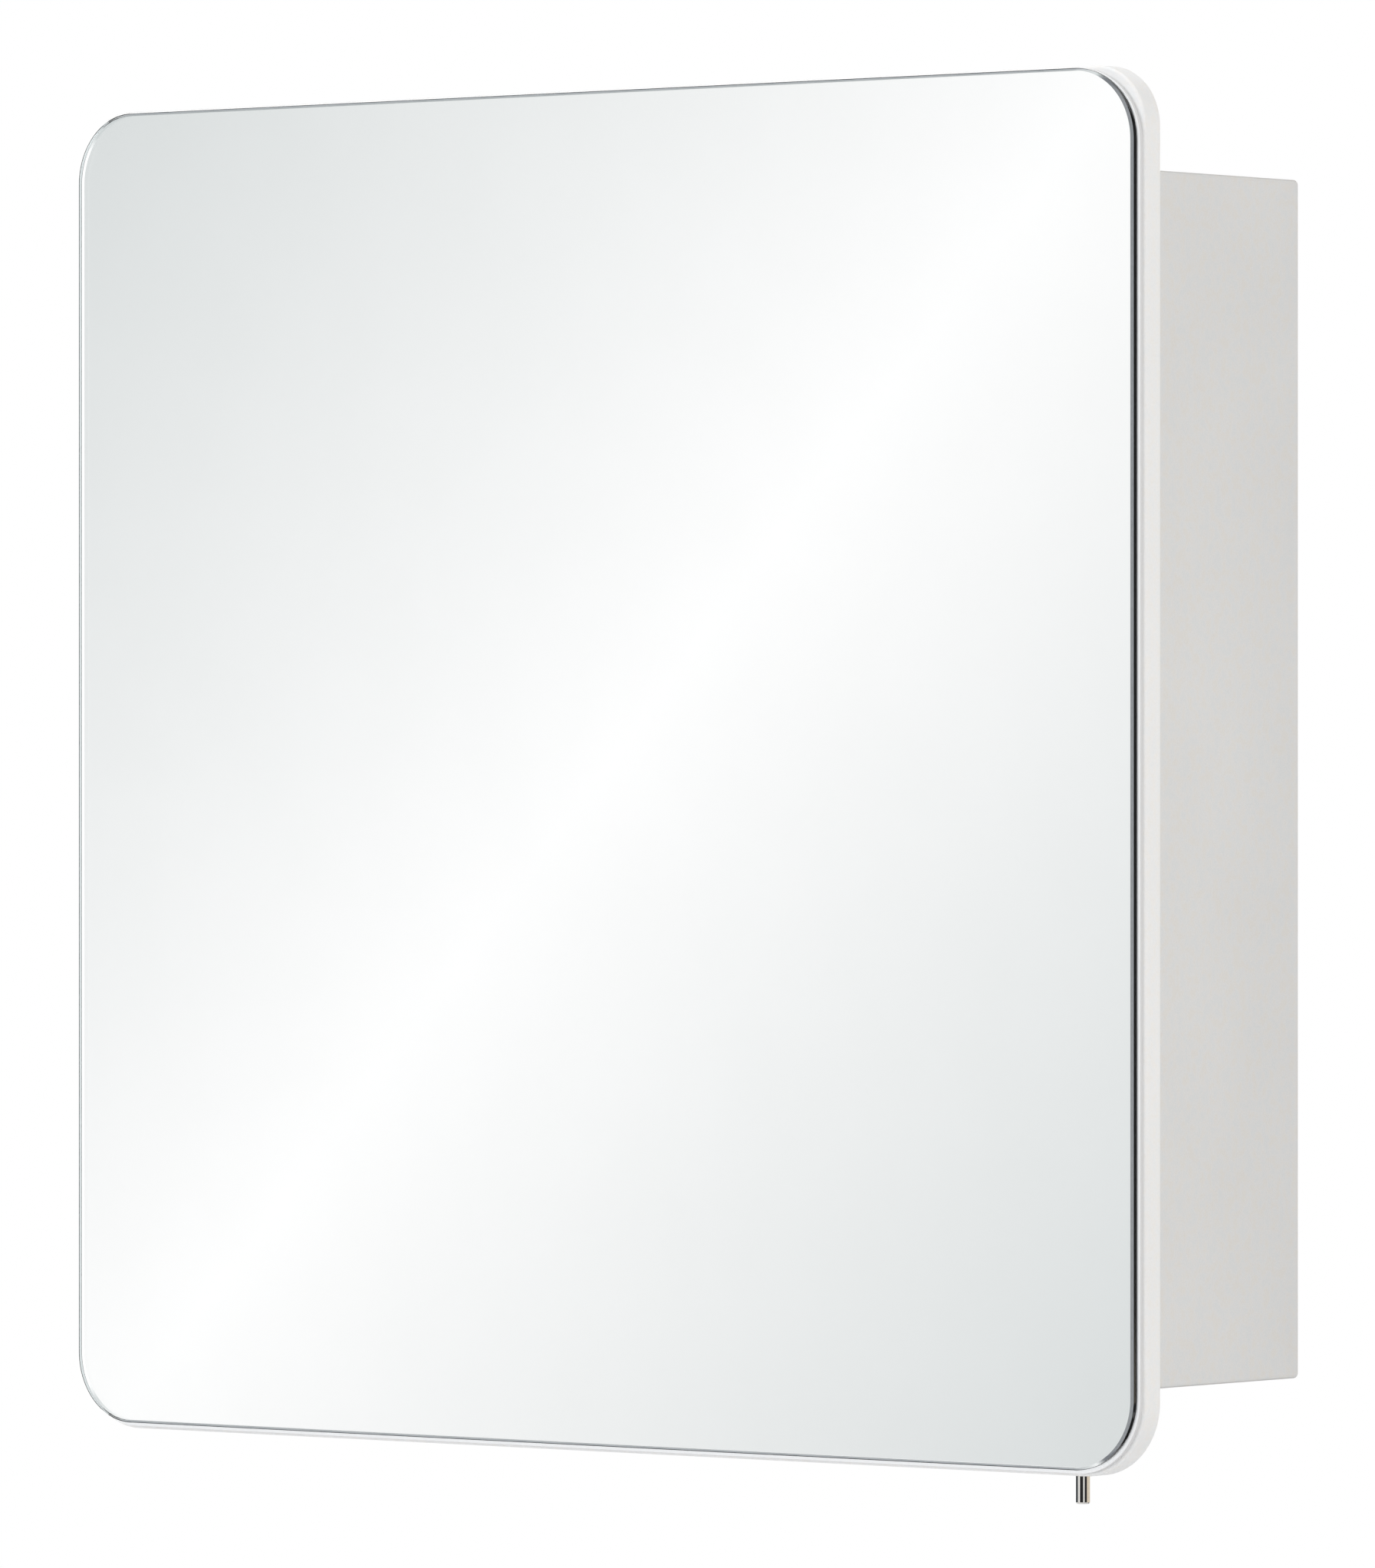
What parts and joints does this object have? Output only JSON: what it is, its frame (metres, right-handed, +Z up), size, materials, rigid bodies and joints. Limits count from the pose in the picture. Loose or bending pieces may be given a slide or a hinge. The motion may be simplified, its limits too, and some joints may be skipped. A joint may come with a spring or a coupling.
{
  "type": "bathroom mirror cabinet",
  "caption": "Wall-hung bathroom cabinet of bent sheet steel with glass shelves and an overhanging square mirror door with rounded corners, butt hinges and a small pin handle.",
  "frame": {"origin": "middle of the four wall-screw holes, on the back panel's rear face, which lies on the wall", "axes": "+X to the right as seen from the front, +Y into the wall, so the mirror faces -Y, +Z up"},
  "size_m": [0.5, 0.1454, 0.509],
  "materials": {
    "body_coat": "fine satin powder coat",
    "door_coat": "smooth satin white powder coat",
    "mirror_glass": "clear float glass, polished edge",
    "silvering": "mirror silver with a grey backing paint",
    "foam_tape": "black closed-cell foam tape",
    "shelf_glass": "clear float glass, polished edge",
    "clear_pad": "soft translucent grey",
    "white_plastic": "smooth matt",
    "magnet": "ground and nickel plated",
    "zinc_steel": "bright zinc plate",
    "polished_steel": "polished"
  },
  "bodies": {
    "cabinet": {"left_side_pan": "body_coat", "right_side_pan": "body_coat", "top_panel": "body_coat", "bottom_panel": "body_coat", "back_panel": "body_coat", "lower_shelf": "shelf_glass", "lower_shelf_brackets": "body_coat", "lower_shelf_pads": "clear_pad", "upper_shelf": "shelf_glass", "upper_shelf_brackets": "body_coat", "upper_shelf_pads": "clear_pad", "lower_hinge_body_leaf": "zinc_steel", "lower_hinge_pin": "zinc_steel", "upper_hinge_body_leaf": "zinc_steel", "upper_hinge_pin": "zinc_steel", "magnet_cups": "white_plastic", "magnets": "magnet", "door_buffers": "clear_pad"},
    "door": {"door_tray": "door_coat", "door_back_plate": "door_coat", "mirror_carrier": "white_plastic", "mirror_glass": "mirror_glass", "mirror_silvering": "silvering", "mirror_tape": "foam_tape", "lower_hinge_door_leaf": "zinc_steel", "lower_hinge_screws": "zinc_steel", "lower_hinge_tapped_plate": "zinc_steel", "upper_hinge_door_leaf": "zinc_steel", "upper_hinge_screws": "zinc_steel", "upper_hinge_tapped_plate": "zinc_steel", "handle_pin": "polished_steel", "handle_boss": "zinc_steel"}
  },
  "joints": [
    {"name": "door_swing", "type": "hinge", "parent": "cabinet", "child": "door", "pos_m": [-0.2217, -0.1275, 0], "axis": [0, 0, -1], "range_deg": [0, 100]}
  ]
}
